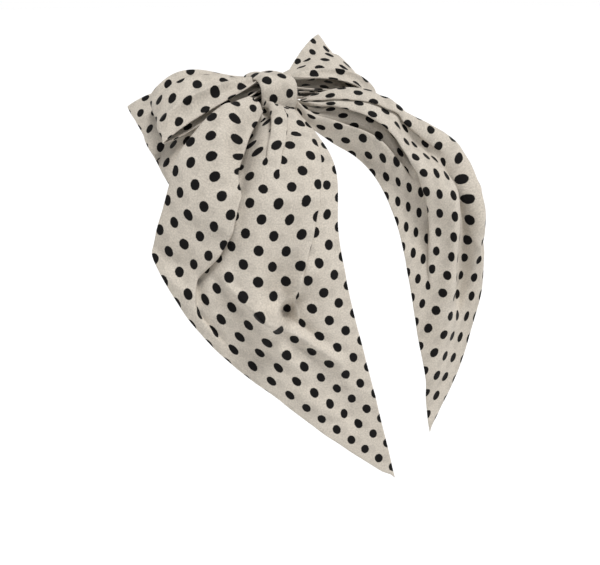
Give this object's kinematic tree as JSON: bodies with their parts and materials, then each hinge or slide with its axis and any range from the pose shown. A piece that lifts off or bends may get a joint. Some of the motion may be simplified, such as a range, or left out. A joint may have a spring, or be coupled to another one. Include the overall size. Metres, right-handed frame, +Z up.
{
  "type": "hair bow clip",
  "caption": "Large soft fabric bow with gathered loops and long slanted tails on a flat spring barrette that clips on to the hair.",
  "frame": {"origin": "centre of the clasp arm's flat face that lies on the scalp, where the hair is gripped", "axes": "+Z up, away from the scalp; +X along the barrette, from its hinge towards its catch; the tails hang towards -Y and -Z"},
  "size_m": [0.2453, 0.2088, 0.2967],
  "materials": {
    "crepe": "matt woven crepe, off-white with round black dots",
    "thread": "matt sewing thread",
    "plated_steel": "nickel-plated sheet steel",
    "spring_steel": "bright spring steel"
  },
  "bodies": {
    "bow": {"front_loops": "crepe", "rear_loops": "crepe", "left_tail": "crepe", "right_tail": "crepe", "knot_band": "crepe", "gather_thread": "thread", "top_plate": "plated_steel", "hinge_pin": "plated_steel", "catch_plate": "spring_steel", "catch_rivet": "plated_steel"},
    "clasp": {"clasp_arm": "plated_steel"},
    "spring_bar": {"tension_bar": "spring_steel"},
    "tab_front": {"release_tab_front": "spring_steel"},
    "tab_back": {"release_tab_back": "spring_steel"}
  },
  "joints": [
    {"name": "clasp_arm_hinge", "type": "hinge", "parent": "bow", "child": "clasp", "pos_m": [-0.036, 0, 0.002], "axis": [0, 1, 0], "range_deg": [0, 75]},
    {"name": "tension_bar_flex", "type": "hinge", "parent": "bow", "child": "spring_bar", "pos_m": [-0.031, 0, 0.0096], "axis": [0, -1, 0], "range_deg": [0, 2.5], "stiffness_Nm_per_rad": 0.05},
    {"name": "release_tab_front_press", "type": "slide", "parent": "bow", "child": "tab_front", "axis": [0, 1, 0], "range_m": [0, 0.0008], "stiffness_N_per_m": 60},
    {"name": "release_tab_back_press", "type": "slide", "parent": "bow", "child": "tab_back", "axis": [0, -1, 0], "range_m": [0, 0.0008], "stiffness_N_per_m": 60}
  ]
}
